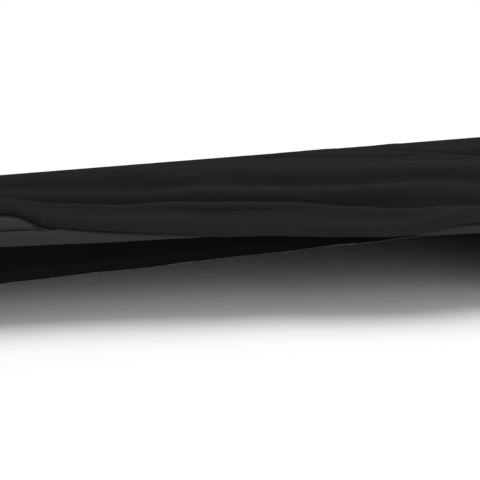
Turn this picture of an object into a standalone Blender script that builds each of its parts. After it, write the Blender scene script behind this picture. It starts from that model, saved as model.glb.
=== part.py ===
"""Stretch dust cover with a raised back panel and a lower step in front, drawn back off the step
between its two ends.

Metres, +Z up, +X along the cover and +Y to its back. The origin is the middle of the back panel,
just under the cloth. The cloth is one sheet: a grid of points whose columns run across the cover,
from the back hem over the top to the front hem, and whose rows run along it, from the hem of one
end to the hem of the other.
"""

import math

import bmesh
import bpy
import numpy as np

# The body that the cover fits: a raised panel at the back, a lower step in front of it, and a lip
# in front of the step.
BODY_LENGTH = 1.320
PANEL_DEPTH = 0.120
STEP_DEPTH = 0.155
LIP_DEPTH = 0.022
STEP_DROP = 0.055
BODY_HEIGHT = 0.123

# The cloth.
CLOTH = 0.0015
HEM_CLOTH = 0.0025
HEM_WIDTH = 0.013
CLEARANCE = 0.0020
EDGE_ROUND = 0.011
PANEL_ROUND = 0.020
KNEE_ROUND = 0.022
HEM_ABOVE_BASE = 0.004
HEM_DRAW_IN = 0.004

# Places that follow from the sizes above.
TOP_Z = CLOTH
END_X = BODY_LENGTH / 2 + CLEARANCE + CLOTH
BACK_Y = PANEL_DEPTH / 2 + CLEARANCE + CLOTH
PANEL_FRONT_Y = -PANEL_DEPTH / 2
STEP_FRONT_Y = PANEL_FRONT_Y - STEP_DEPTH
STEP_Z = -STEP_DROP
HEM_Z = HEM_ABOVE_BASE - BODY_HEIGHT
# Where the slope over the step and the front wall would meet if the edge weren't round.
KNEE_Y = STEP_FRONT_Y - LIP_DEPTH
KNEE_Z = STEP_Z - 0.008
SLOPE_LENGTH = math.hypot(PANEL_FRONT_Y - KNEE_Y, TOP_Z - KNEE_Z)

# Steps of the grid.
ROUND_STEPS = 3
WALL_STEPS = 4
LEVELS = ROUND_STEPS + WALL_STEPS
PANEL_STEPS = 11
FALL_STEPS = 13
FRONT_STEPS = FALL_STEPS + LEVELS
CURVE_STEPS = 4
# Where the columns start and end their change from the drawn to the fitted spacing.
FITTED_RIGHT = (0.150, 0.450)
FITTED_LEFT = (-0.320, -0.600)

# Front hem. One row for each section along the cover: x, how far its lowest edge lies behind the
# front edge of the step and above the step, the way its band points (0 forward, 90 degrees down,
# more than 90 turned back), and the share of the band that is tucked under.
HEM_SECTIONS = (
    (-0.610, -0.022, -0.064, 90, 0.0),
    (-0.560, -0.022, -0.058, 90, 0.0),
    (-0.515, -0.021, -0.034, 90, 0.0),
    (-0.475, -0.008, -0.004, 65, 0.0),
    (-0.425, 0.040, 0.006, 70, 0.0),
    (-0.370, 0.096, 0.010, 80, 0.0),
    (-0.310, 0.131, 0.011, 88, 0.0),
    (-0.255, 0.137, 0.011, 88, 0.0),
    (-0.203, 0.125, 0.010, 88, 0.0),
    (-0.150, 0.110, 0.010, 88, 0.0),
    (-0.097, 0.094, 0.010, 88, 0.0),
    (-0.045, 0.079, 0.0125, 95, 0.15),
    (0.009, 0.063, 0.0160, 168, 0.95),
    (0.058, 0.041, 0.0140, 174, 1.0),
    (0.104, 0.020, 0.0125, 174, 1.0),
    (0.140, 0.010, 0.0115, 165, 0.9),
    (0.175, 0.006, 0.0110, 120, 0.4),
    (0.205, 0.002, 0.0075, 88, 0.1),
    (0.235, -0.008, 0.0030, 72, 0.0),
    (0.270, -0.019, -0.010, 65, 0.0),
    (0.310, -0.022, -0.034, 88, 0.0),
    (0.355, -0.022, -0.057, 90, 0.0),
    (0.400, -0.022, -0.064, 90, 0.0),
)
# How a table's bends are blended: its values are averaged over these steps along the cover.
BLEND_STEPS = 0.018 * np.array((-1.5, -1.0, -0.5, 0.0, 0.5, 1.0, 1.5))
BLEND_WEIGHTS = np.array((1, 2, 3, 3, 3, 2, 1)) / 15

# Folds. Each runs along the cover past stated places across it: 0 is the back edge, 1 the panel's
# front edge and 2 the front hem, or the front edge where the hem hangs below it.
# name, height, half width, and (x, place) for each bend.
FOLDS = (
    ("back ridge", 0.0040, 0.010, (
        (-0.400, 0.10), (-0.168, 0.10), (-0.106, 0.23), (-0.048, 0.55), (0.036, 0.98),
        (0.096, 1.07), (0.160, 1.10), (0.224, 1.16), (0.294, 1.14), (0.440, 1.12))),
    ("back valley", -0.0046, 0.016, (
        (-0.400, 0.40), (-0.200, 0.50), (-0.142, 0.70), (-0.084, 0.92), (-0.026, 1.04),
        (0.034, 1.14), (0.094, 1.19), (0.154, 1.24), (0.216, 1.28), (0.440, 1.27))),
    ("middle fold", 0.0036, 0.010, (
        (-0.400, 0.94), (-0.198, 1.09), (-0.144, 1.19), (-0.088, 1.25), (-0.032, 1.30),
        (0.026, 1.34), (0.084, 1.38), (0.142, 1.41), (0.198, 1.48), (0.400, 1.48))),
    ("middle valley", -0.0052, 0.008, (
        (-0.360, 0.94), (-0.198, 1.15), (-0.146, 1.33), (-0.092, 1.43), (-0.036, 1.45),
        (0.018, 1.47), (0.072, 1.52), (0.124, 1.56), (0.174, 1.67), (0.208, 1.73), (0.360, 1.78))),
    ("front fold", 0.0040, 0.008, (
        (-0.340, 1.02), (-0.198, 1.24), (-0.146, 1.40), (-0.092, 1.50), (-0.036, 1.52),
        (0.018, 1.54), (0.072, 1.59), (0.124, 1.63), (0.174, 1.73), (0.208, 1.79), (0.340, 1.86))),
    ("front valley", -0.0026, 0.006, (
        (-0.165, 1.42), (-0.128, 1.49), (-0.092, 1.56), (-0.040, 1.63), (0.014, 1.625),
        (0.068, 1.65), (0.125, 1.68))),
    ("front roll", 0.0024, 0.012, (
        (-0.300, 1.20), (-0.198, 1.50), (-0.146, 1.66), (-0.092, 1.80), (-0.040, 1.86),
        (0.014, 1.86), (0.068, 1.87), (0.124, 1.88), (0.200, 1.92), (0.300, 1.94))),
    ("pocket", 0.0034, 0.006, (
        (-0.330, 1.52), (-0.200, 1.64), (-0.178, 1.74), (-0.115, 1.88))),
    ("crease", -0.0040, 0.006, (
        (-0.330, 1.25), (-0.200, 1.45), (-0.178, 1.58), (-0.168, 1.70), (-0.148, 1.80),
        (-0.126, 1.86), (-0.096, 1.89), (-0.060, 1.92), (-0.026, 1.95), (0.030, 1.98))),
    ("corner crease", -0.0034, 0.006, (
        (0.095, 1.99), (0.142, 1.96), (0.180, 1.92), (0.216, 1.91), (0.360, 1.88))),
)
FOLD_FADE = 0.065
# Folds are as high as stated where the front is at least this long, and lower where it is short.
FULL_FRONT = 0.120
# The back edge is drawn tight and straight, so the folds die out before it.
TIGHT_EDGE = 0.022

CLOTH_COLOUR = (0.017, 0.018, 0.019, 1.0)
CLOTH_ROUGHNESS = 0.85


def ease(t):
    """Smooth step from 0 to 1."""
    t = min(1.0, max(0.0, t))
    return t * t * (3 - 2 * t)


def hem_band(x):
    """(y, z) of the top and of the end of the front hem's band, from the table of sections with
    its corners blended."""
    xs, *columns = zip(*HEM_SECTIONS)
    behind, above, way, tucked = (
        BLEND_WEIGHTS @ np.interp(x + BLEND_STEPS, xs, column) for column in columns
    )
    lowest = np.array((STEP_FRONT_Y + behind, STEP_Z + above))
    band = -HEM_WIDTH * np.array((math.cos(math.radians(way)), math.sin(math.radians(way))))
    return lowest - band * (1 - tucked), lowest + band * tucked


def cut_corner(before, corner, after, length, steps):
    """Points round one corner of a section, from where it starts to where it ends."""
    into = (corner - before) / np.linalg.norm(corner - before)
    out = (after - corner) / np.linalg.norm(after - corner)
    start, end = corner - into * length, corner + out * length
    return [
        start * (1 - t) ** 2 + corner * 2 * t * (1 - t) + end * t**2
        for t in np.linspace(0, 1, steps + 1)
    ]


def lengths_along(points):
    """Length along a line of points, at each point."""
    steps = np.linalg.norm(np.diff(points, axis=0), axis=1)
    return np.concatenate([[0], np.cumsum(steps)])


def points_at(line, places):
    """Points at stated lengths along a line of points."""
    along = lengths_along(line)
    return np.column_stack([np.interp(places, along, line[:, axis]) for axis in (0, 1)])


def wall_steps(start, end):
    """Lengths down a wall from one to the other, whose last step is the hem's own width."""
    return np.append(np.linspace(start, end - HEM_WIDTH, WALL_STEPS), end)[1:]


def front_steps(x, length):
    """Lengths at which the columns of the front lie: even where the cloth is drawn back, and set
    by the front edge's round and wall where it is fitted."""
    drawn = np.append(np.linspace(0, length - HEM_WIDTH, FRONT_STEPS), length)
    round_start = min(SLOPE_LENGTH - KNEE_ROUND, 0.80 * length)
    round_end = round_start + min(1.6 * KNEE_ROUND, 0.5 * (length - round_start))
    fall = np.linspace(0, round_start, FALL_STEPS + 1)
    turn = np.linspace(round_start, round_end, ROUND_STEPS + 1)[1:]
    fitted = np.concatenate([fall, turn, wall_steps(round_end, length)])
    beyond = max((x - FITTED_RIGHT[0]) / (FITTED_RIGHT[1] - FITTED_RIGHT[0]),
                 (x - FITTED_LEFT[0]) / (FITTED_LEFT[1] - FITTED_LEFT[0]))
    return drawn + (fitted - drawn) * ease(beyond)


def section(x):
    """The cloth's line across the cover at x, from the back hem to the front hem, as (y, z) rows,
    with each point's place across it and its length along it."""
    band_top, hem = hem_band(x)
    back_hem = np.array((BACK_Y - HEM_DRAW_IN, HEM_Z))
    back_edge = np.array((BACK_Y, TOP_Z))
    shoulder = np.array((PANEL_FRONT_Y, TOP_Z))
    fitted = ease((STEP_Z + HEM_WIDTH - band_top[1]) / 0.030)
    on_slope = shoulder + (band_top - shoulder) * 0.6
    knee = on_slope * (1 - fitted) + np.array((KNEE_Y, KNEE_Z)) * fitted
    slope = np.linalg.norm(knee - shoulder)
    panel_round = min(PANEL_ROUND, 0.55 * slope)
    knee_round = min(KNEE_ROUND, 0.7 * np.linalg.norm(band_top - knee), 0.4 * slope)

    back_round = cut_corner(back_hem, back_edge, shoulder, EDGE_ROUND, ROUND_STEPS)
    over_panel = cut_corner(back_edge, shoulder, knee, panel_round, 2 * CURVE_STEPS)
    over_knee = cut_corner(shoulder, knee, band_top, knee_round, 2 * CURVE_STEPS)
    wall = np.array([back_round[0], back_hem])
    panel = np.array([back_round[-1]] + over_panel[: CURVE_STEPS + 1])
    front = np.array(over_panel[CURVE_STEPS:] + over_knee + [band_top, hem])
    wall_length, panel_length, front_length = (
        lengths_along(line)[-1] for line in (wall, panel, front)
    )
    points = np.concatenate(
        [
            points_at(wall, wall_steps(0, wall_length))[::-1],
            back_round[:-1],
            points_at(panel, np.linspace(0, panel_length, PANEL_STEPS + 1))[:-1],
            points_at(front, front_steps(x, front_length)),
        ]
    )

    along = lengths_along(points)
    middle = LEVELS + PANEL_STEPS
    place = np.where(
        along < along[middle],
        (along - along[LEVELS]) / (along[middle] - along[LEVELS]),
        1 + (along - along[middle]) / min(along[-1] - along[middle], SLOPE_LENGTH),
    )
    return points, place, along


def fold_height(x, place, along):
    """How far the folds lift the cloth off its line at x, for each point of the section."""
    lift = np.zeros(len(place))
    for _, height, half_width, line in FOLDS:
        xs, places = zip(*line)
        centre = BLEND_WEIGHTS @ np.interp(x + BLEND_STEPS, xs, places)
        fade = ease((x - xs[0]) / FOLD_FADE) * ease((xs[-1] - x) / FOLD_FADE)
        distance = along - np.interp(centre, place, along)
        lift += height * fade * np.exp(-((distance / half_width) ** 2))
    from_edge = (along - along[LEVELS]) / TIGHT_EDGE
    squeeze = min(1.0, (along[-1] - along[LEVELS + PANEL_STEPS]) / FULL_FRONT)
    return lift * squeeze * np.array([ease(distance) for distance in from_edge])


def wall_waves(x, z):
    """Soft upright waves of a hanging wall, none at its top and most at its hem."""
    depth = (TOP_Z - z) / (TOP_Z - HEM_Z)
    return 0.0016 * depth * (math.sin(x * 41 + 0.6) + 0.7 * math.sin(x * 67 + 2.1))


def row_along(x):
    """The points of one row of the grid between the ends, as (x, y, z)."""
    line, place, along = section(x)
    tangent = np.gradient(line, axis=0)
    tangent /= np.linalg.norm(tangent, axis=1)[:, None]
    outward = np.stack([tangent[:, 1], -tangent[:, 0]], axis=1)
    line = line + outward * fold_height(x, place, along)[:, None]
    line[:LEVELS, 0] += [wall_waves(x, z) for z in line[:LEVELS, 1]]
    return np.column_stack([np.full(len(line), x), line])


def end_drop(level, height):
    """(outward, downward) of a level of an end wall that is as high as stated."""
    if level <= ROUND_STEPS:
        turn = math.pi / 2 * level / ROUND_STEPS
        return EDGE_ROUND * math.sin(turn), EDGE_ROUND * (1 - math.cos(turn))
    straight_drop = height - EDGE_ROUND - HEM_WIDTH
    share = (level - ROUND_STEPS) / (WALL_STEPS - 1)
    down = EDGE_ROUND + straight_drop * share if share <= 1 else height
    return EDGE_ROUND - HEM_DRAW_IN * (down / height) ** 2, down


def corner_angle(end_level, side_level):
    """Angle round an upright corner: 0 on the back or front wall and 90 degrees on the end wall."""
    if end_level <= side_level:
        return math.pi / 4 * end_level / side_level
    return math.pi / 2 - math.pi / 4 * side_level / end_level


def row_down_end(base, level):
    """The points of one row of an end wall, for the +X end; base is the row next to it."""
    last = len(base) - 1
    points = []
    for column, (x, y, z) in enumerate(base):
        side_level = max(LEVELS - column, column - (last - LEVELS), 0)
        edge = min(max(column, LEVELS), last - LEVELS)
        ring = max(level, side_level)
        angle = corner_angle(level, side_level)
        out, down = end_drop(ring, base[edge][2] - HEM_Z)
        ring_column = LEVELS - ring if column < LEVELS else last - LEVELS + ring
        side = base[ring_column] if side_level else base[edge]
        sideways = side[1] - base[edge][1]
        share = math.sin(angle) ** 2
        end_wave = 0.6 * wall_waves(y, base[edge][2] - down)
        points.append(
            (
                x + out * math.sin(angle) + end_wave * share,
                base[edge][1] + sideways * math.cos(angle) * (side_level > 0),
                side[2] * (1 - share) + (base[edge][2] - down) * share,
            )
        )
    return np.array(points)


def stations():
    """x of each row between the ends, closer together where the cloth is drawn back."""
    limit = END_X - EDGE_ROUND
    close = np.linspace(-0.60, 0.40, 54)
    left = np.linspace(-limit, close[0], 4)[:-1]
    right = np.linspace(close[-1], limit, 8)[1:]
    return np.concatenate([left, close, right])


def cover_grid():
    """All rows of the cloth, from the hem of the left end to the hem of the right end."""
    top = [row_along(x) for x in stations()]
    right = [row_down_end(top[-1], level) for level in range(1, LEVELS + 1)]
    mirror = np.array((-1, 1, 1))
    left = [row_down_end(top[0] * mirror, level) * mirror for level in range(LEVELS, 0, -1)]
    return np.array(left + top + right)


def grid_mesh(name, grid):
    """A mesh of four-sided faces over a grid of points, facing out of the cover."""
    model = bmesh.new()
    rows = [[model.verts.new(point) for point in row] for row in grid]
    for one, two in zip(rows, rows[1:]):
        for a, b, c, d in zip(one, two, two[1:], one[1:]):
            model.faces.new((a, d, c, b))
    mesh = bpy.data.meshes.new(name)
    model.to_mesh(mesh)
    model.free()
    mesh.shade_smooth()
    return mesh


def cloth_material():
    """Matt black stretch jersey."""
    material = bpy.data.materials.new("black_jersey")
    material.use_nodes = True
    shader = material.node_tree.nodes["Principled BSDF"]
    shader.inputs["Base Color"].default_value = CLOTH_COLOUR
    shader.inputs["Roughness"].default_value = CLOTH_ROUGHNESS
    return material


def add_cover():
    """The cover: one sheet with its hem, thicker at the hem where the cloth is turned up."""
    grid = cover_grid()
    rows, columns = grid.shape[:2]
    cover = bpy.data.objects.new("cover", grid_mesh("cover", grid))
    bpy.context.scene.collection.objects.link(cover)
    cover.data.materials.append(cloth_material())

    hem = cover.vertex_groups.new(name="hem")
    edge = [
        row * columns + column
        for row in range(rows)
        for column in range(columns)
        if row in (0, 1, rows - 2, rows - 1) or column in (0, 1, columns - 2, columns - 1)
    ]
    hem.add(edge, 1.0, "REPLACE")

    cloth = cover.modifiers.new("cloth thickness", "SOLIDIFY")
    cloth.thickness = HEM_CLOTH
    cloth.offset = -1.0
    cloth.vertex_group = hem.name
    cloth.thickness_vertex_group = CLOTH / HEM_CLOTH
    return cover


def clear_scene():
    """Removes what the scene starts with."""
    for item in list(bpy.data.objects):
        bpy.data.objects.remove(item)


def main():
    clear_scene()
    add_cover()


main()
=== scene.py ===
"""Stretch dust cover, fitted over a long low body and drawn back off its front step.

The cover is one sheet of black jersey with a turned hem, which two rows of stitches hold. The
sheet is built from cross sections. Each section is the line of the cloth from the back hem over
the raised panel to the front hem, and folds that run along the cover lift it and lean it over.
Everything is in metres, in the frame of the solid that the cloth dresses: +X along the cover, +Y
to its back and +Z up.
"""

from __future__ import annotations

import logging
import math
from dataclasses import dataclass, field
from enum import Enum
from typing import Any, Callable, Mapping, NamedTuple, Sequence, Union

import bpy
import numpy as np
from mathutils import Matrix, Vector, noise

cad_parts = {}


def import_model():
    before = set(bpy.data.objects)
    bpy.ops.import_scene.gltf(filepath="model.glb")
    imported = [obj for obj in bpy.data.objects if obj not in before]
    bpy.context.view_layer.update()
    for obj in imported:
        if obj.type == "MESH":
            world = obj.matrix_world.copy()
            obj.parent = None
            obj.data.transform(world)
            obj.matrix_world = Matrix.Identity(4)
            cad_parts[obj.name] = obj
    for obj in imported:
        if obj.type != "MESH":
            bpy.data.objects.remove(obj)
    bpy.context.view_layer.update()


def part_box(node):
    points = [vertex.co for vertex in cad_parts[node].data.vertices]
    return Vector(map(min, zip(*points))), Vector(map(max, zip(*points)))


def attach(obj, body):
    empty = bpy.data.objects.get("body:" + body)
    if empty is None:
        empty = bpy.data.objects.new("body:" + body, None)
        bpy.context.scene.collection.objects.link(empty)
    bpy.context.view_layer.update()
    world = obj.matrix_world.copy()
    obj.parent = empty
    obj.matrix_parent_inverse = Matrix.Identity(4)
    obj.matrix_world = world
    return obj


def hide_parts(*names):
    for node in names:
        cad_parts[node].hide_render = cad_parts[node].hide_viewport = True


LOG = logging.getLogger("dust_cover")
SOLID = "cover"
BODY = "root"
# How far the floor lies below the hem.
FLOOR_GAP = 0.0006
# How far apart the fields of the ripples lie.
FIELD_GAP = 7.31

Colour = tuple[float, float, float, float]
WHITE: Colour = (1.0, 1.0, 1.0, 1.0)
Value = Union["Wire", float, int, bool, Sequence[float], bpy.types.ID]


def ease(t: float | np.ndarray) -> float | np.ndarray:
    """Smooth step: 0 until t is 0, 1 once t is 1 and a smooth change between them."""
    t = np.clip(t, 0.0, 1.0)
    return t * t * (3 - 2 * t)


class Ripple(NamedTuple):
    """A smooth field without a pattern that is the same each run.

    number says which of many such fields it is, height is how far it goes up and down, and along
    and across are its changes for each metre.
    """

    number: int
    height: float
    along: float
    across: float = 0.0

    def at(self, along: float, across: float = 0.0) -> float:
        """The field's value at a place on the cloth."""
        place = (along * self.along, across * self.across, self.number * FIELD_GAP)
        return self.height * noise.noise(Vector(place))


def add_object(name: str, data: bpy.types.ID) -> bpy.types.Object:
    """Adds an object to the scene, at the origin.

    Args:
        name: the object's name.
        data: its mesh, light or camera.

    Returns:
        The object.
    """
    added = bpy.data.objects.new(name, data)
    bpy.context.scene.collection.objects.link(added)
    return added


def by_math(operation: str, reflected: bool = False) -> Callable[[Wire, Value], Wire]:
    """Makes an operator of Wire, which adds a Math node.

    Args:
        operation: what the Math node does.
        reflected: whether the wire stands on the right of the operator.

    Returns:
        The operator's method.
    """

    def method(wire: Wire, other: Value) -> Wire:
        """Adds the node."""
        return wire.nodes.math(operation, *((other, wire) if reflected else (wire, other)))

    return method


class Wire:
    """An output socket in an expression: each operator adds a Math node to its tree."""

    __add__, __radd__ = by_math("ADD"), by_math("ADD", True)
    __sub__, __rsub__ = by_math("SUBTRACT"), by_math("SUBTRACT", True)
    __mul__, __rmul__ = by_math("MULTIPLY"), by_math("MULTIPLY", True)
    __truediv__, __rtruediv__ = by_math("DIVIDE"), by_math("DIVIDE", True)
    __pow__, __rpow__ = by_math("POWER"), by_math("POWER", True)

    def __init__(self, nodes: Nodes, socket: bpy.types.NodeSocket) -> None:
        """Args: nodes is the tree's maker, and socket is the output that the wire starts at."""
        self.nodes = nodes
        self.socket = socket

    def of(self, name: str) -> Wire:
        """Another output of the same node."""
        return Wire(self.nodes, find_socket(self.socket.node.outputs, name))

    def __abs__(self) -> Wire:
        """The value without its sign."""
        return self.nodes.math("ABSOLUTE", self)

    def fract(self) -> Wire:
        """The part of the value after its whole number."""
        return self.nodes.math("FRACT", self)

    def wave(self) -> Wire:
        """From 0 to 1 and back for each whole number that the value passes."""
        return 0.5 + 0.5 * self.nodes.math("SINE", self * math.tau)


def find_socket(sockets: Any, key: str | int) -> bpy.types.NodeSocket:
    """A node's input or output, by its identifier, its name or its place in the list."""
    return next((socket for socket in sockets if socket.identifier == key), None) or sockets[key]


class Nodes:
    """Makes the nodes of one tree, for a material, the world or a geometry tree."""

    def __init__(self, tree: bpy.types.NodeTree) -> None:
        """Args: tree is the tree that the nodes go into, and it is emptied first."""
        self.tree = tree
        tree.nodes.clear()

    def add(
        self,
        kind: str,
        settings: Mapping[str, Any] | None = None,
        inputs: Mapping[str | int, Value] | None = None,
        output: str | int = 0,
    ) -> Wire | None:
        """Adds a node.

        Args:
            kind: the node's type.
            settings: its own properties, which are set before its sockets.
            inputs: a value or a wire for each input that changes.
            output: where the wire starts.

        Returns:
            The wire, or None where the node has no output.
        """
        node = self.tree.nodes.new(kind)
        for name, value in (settings or {}).items():
            setattr(node, name, value)
        for key, value in (inputs or {}).items():
            socket = find_socket(node.inputs, key)
            if isinstance(value, Wire):
                self.tree.links.new(value.socket, socket)
            else:
                socket.default_value = value
        return Wire(self, find_socket(node.outputs, output)) if len(node.outputs) else None

    def math(self, operation: str, *values: Value) -> Wire:
        """A Math node on the values, in their order."""
        return self.add("ShaderNodeMath", {"operation": operation}, dict(enumerate(values)))

    def mix(self, factor: Value, start: Value, end: Value) -> Wire:
        """One colour where the factor is 0, the other where it is 1 and a mix between them."""
        inputs = {"Factor_Float": factor, "A_Color": start, "B_Color": end}
        return self.add("ShaderNodeMix", {"data_type": "RGBA"}, inputs, "Result_Color")

    def speckle(self, where: Wire, scale: float, detail: float = 2.0, rough: float = 0.5) -> Wire:
        """A noise from 0 to 1: scale is its changes for each metre, detail its finer layers."""
        inputs = {"Vector": where, "Scale": scale, "Detail": detail, "Roughness": rough}
        return self.add("ShaderNodeTexNoise", {"noise_dimensions": "3D"}, inputs)


@dataclass(frozen=True)
class Finish:
    """A procedural finish. Each kind of finish says what its shader's inputs are."""

    name: str

    def inputs(self, nodes: Nodes) -> dict[str, Value]:
        """The shader's inputs, for a material whose nodes are given."""
        raise NotImplementedError

    def make(self) -> bpy.types.Material:
        """Builds the material.

        Returns:
            The material.
        """
        material = bpy.data.materials.new(self.name)
        material.use_nodes = True
        nodes = Nodes(material.node_tree)
        surface = nodes.add("ShaderNodeBsdfPrincipled", None, self.inputs(nodes))
        nodes.add("ShaderNodeOutputMaterial", None, {"Surface": surface})
        return material


class Tone(NamedTuple):
    """A change of the cloth's colour, used for lint and for painted light and shade: its lightness
    against the cloth's own, and how much is mixed in.
    """

    lightness: float
    share: float


@dataclass(frozen=True)
class JerseyFinish(Finish):
    """Matt black stretch jersey, with its knit and a hem that is a little paler.

    wale and course are the width and the height of one stitch of the knit, relief is how far the
    stitch stands up, and fuzz how far its lint does. clouds and lint are noises: their changes for
    each metre, their finer layers and how strong those are. The colour also holds painted highlight
    on the folds' ridges, painted shade in their valleys and between the knit's loops, and painted
    bounce light that makes the front hem paler.
    """

    name: str = "black_jersey"
    colour: tuple[float, float, float] = (0.0170, 0.0177, 0.0190)
    wale: float = 0.0010
    course: float = 0.0008
    loop_slant: float = 0.45
    loop_height: float = 0.45
    relief: float = 0.00016
    fuzz: float = 0.00006
    bump: float = 0.9
    clouds: tuple[float, float, float] = (9.0, 3.0, 0.55)
    cloud_shades: tuple[float, float] = (0.86, 1.12)
    lint: tuple[float, float, float] = (1400.0, 2.0, 0.6)
    lint_from: float = 0.62
    lint_tone: Tone = Tone(2.6, 1.2)
    # Painted highlight on the folds' ridges and painted shade in their valleys, both set by the
    # rise attribute.
    ridge_painted_highlight: Tone = Tone(1.5, 0.45)
    valley_painted_shade: Tone = Tone(0.5, -0.75)
    # The paler hem, with painted bounce light that makes the front hem and the strip below its
    # crease paler.
    hem_and_painted_bounce_tone: Tone = Tone(2.65, 0.85)
    # Painted shade between the knit's loops.
    between_loops_painted_shade: Tone = Tone(0.45, 0.30)
    roughness: tuple[float, float] = (0.80, 0.95)
    sheen: float = 0.015
    sheen_roughness: float = 0.45
    sheen_tint: Colour = (0.80, 0.86, 1.0, 1.0)
    specular: float = 0.0

    def shade(self, lightness: float) -> Colour:
        """The cloth's own colour, made lighter or darker."""
        return (*(channel * lightness for channel in self.colour), 1.0)

    def knit(self, nodes: Nodes) -> Wire:
        """The height of the knit, from the stitches' own map.

        Args:
            nodes: the material's nodes.

        Returns:
            0 between the wales and up to 1 on the loops.
        """
        weave = nodes.add("ShaderNodeUVMap", {"uv_map": "weave"})
        place = nodes.add("ShaderNodeSeparateXYZ", None, {0: weave})
        edge = abs((place / self.wale).fract() - 0.5) * 2
        loops = (place.of("Y") / self.course + edge * self.loop_slant).wave()
        return (1 - edge**2) * (1 - self.loop_height + self.loop_height * loops)

    def inputs(self, nodes: Nodes) -> dict[str, Value]:
        """The inputs of the cloth's shader.

        Args:
            nodes: the material's nodes.

        Returns:
            The inputs, with painted highlight on the folds' ridges, painted shade in their valleys
            and between the knit's loops, the paler hem with painted bounce light at the front, and
            the lint in the colour.
        """
        where = nodes.add("ShaderNodeTexCoord", output="Object")
        # hem holds the paler hem with its painted bounce light, and rise the folds' height, which
        # sets their painted highlight and shade.
        hem, rise = (
            nodes.add("ShaderNodeAttribute", {"attribute_name": name}, output="Fac")
            for name in ("hem", "rise")
        )
        knit = self.knit(nodes)
        cloudy = nodes.speckle(where, *self.clouds)
        lint = nodes.speckle(where, *self.lint)
        colour_with_painted_light = nodes.mix(cloudy, *(self.shade(lightness) for lightness in self.cloud_shades))
        # Painted highlight and shade of the folds, the paler hem with painted bounce light, painted
        # shade between the loops, then the lint.
        for weight, tone in (
            (rise, self.ridge_painted_highlight),
            (rise, self.valley_painted_shade),
            (hem, self.hem_and_painted_bounce_tone),
            (1 - knit, self.between_loops_painted_shade),
            (lint - self.lint_from, self.lint_tone),
        ):
            colour_with_painted_light = nodes.mix(weight * tone.share, colour_with_painted_light, self.shade(tone.lightness))
        smooth, rough = self.roughness
        height = knit * self.relief + lint * self.fuzz
        bump = {"Strength": self.bump, "Distance": 1.0, "Height": height}
        return {
            "Base Color": colour_with_painted_light,
            "Roughness": smooth + (rough - smooth) * cloudy,
            "Specular IOR Level": self.specular,
            "Sheen Weight": self.sheen,
            "Sheen Roughness": self.sheen_roughness,
            "Sheen Tint": self.sheen_tint,
            "Normal": nodes.add("ShaderNodeBump", None, bump),
        }


@dataclass(frozen=True)
class ThreadFinish(Finish):
    """Black polyester sewing thread, with the twist of its plies.

    relief is how far a ply stands up, wear is the changes of its wear for each metre, and the
    crown share is how much of the paler colour each ply's crown has, as a painted highlight.
    """

    name: str = "black_thread"
    colour: Colour = (0.017, 0.017, 0.019, 1.0)
    wear_and_highlight_colour: Colour = (0.034, 0.035, 0.038, 1.0)
    twist: float = 0.0006
    relief: float = 0.00005
    wear: float = 60.0
    crown_painted_highlight: float = 0.5
    roughness: float = 0.55

    def inputs(self, nodes: Nodes) -> dict[str, Value]:
        """The inputs of the thread's shader.

        Args:
            nodes: the material's nodes.

        Returns:
            The inputs.
        """
        where = nodes.add("ShaderNodeTexCoord", output="Object")
        place = nodes.add("ShaderNodeSeparateXYZ", None, {0: where})
        plies = ((place + place.of("Y") + place.of("Z")) / self.twist).wave()
        bump = nodes.add("ShaderNodeBump", None, {"Distance": 1.0, "Height": plies * self.relief})
        shade = nodes.mix(nodes.speckle(where, self.wear), self.colour, self.wear_and_highlight_colour)
        # Each ply's crown is made paler: a painted highlight.
        colour = nodes.mix(plies * self.crown_painted_highlight, shade, self.wear_and_highlight_colour)
        return {"Base Color": colour, "Roughness": self.roughness, "Normal": bump}


@dataclass(frozen=True)
class FloorFinish(Finish):
    """Plain pale floor."""

    name: str = "pale_floor"
    colour: Colour = (0.94, 0.94, 0.94, 1.0)
    roughness: float = 0.9

    def inputs(self, nodes: Nodes) -> dict[str, Value]:
        """The inputs of the floor's shader, without any gloss."""
        return {"Base Color": self.colour, "Roughness": self.roughness, "Specular IOR Level": 0.0}


@dataclass(frozen=True)
class FittedBody:
    """The body that the cover fits: a raised panel, a lower step in front of it and a lip.

    The ends, the back and the hem's height are the solid's own, and the rest are the sizes of the
    step.
    """

    end_x: float
    back_y: float
    hem_z: float
    top_z: float = 0.0015
    panel_front_y: float = -0.060
    step_depth: float = 0.155
    lip_depth: float = 0.022
    step_drop: float = 0.055
    knee_drop: float = 0.008

    @classmethod
    def from_solid(cls, node: str) -> FittedBody:
        """The body inside a solid of the frame, with its ends, back and hem where that has them."""
        low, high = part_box(node)
        return cls(end_x=high.x, back_y=high.y, hem_z=low.z)

    @property
    def step_front_y(self) -> float:
        """The front edge of the step."""
        return self.panel_front_y - self.step_depth

    @property
    def shoulder(self) -> np.ndarray:
        """(y, z) of the panel's front edge."""
        return np.array((self.panel_front_y, self.top_z))

    @property
    def knee(self) -> np.ndarray:
        """(y, z) where the slope over the step and the front wall would meet."""
        return np.array((self.step_front_y - self.lip_depth, -self.step_drop - self.knee_drop))

    @property
    def slope_length(self) -> float:
        """Length from the panel's front edge to the knee."""
        return float(np.linalg.norm(self.knee - self.shoulder))


class HemSection(NamedTuple):
    """Where the front hem is at one x.

    behind and above place its lowest edge from the front edge of the step, way is where its band
    points in degrees (0 forward, 90 down, more than 90 turned back), and tucked is the share of
    the band that is tucked under.
    """

    x: float
    behind: float
    above: float
    way: float
    tucked: float


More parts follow.
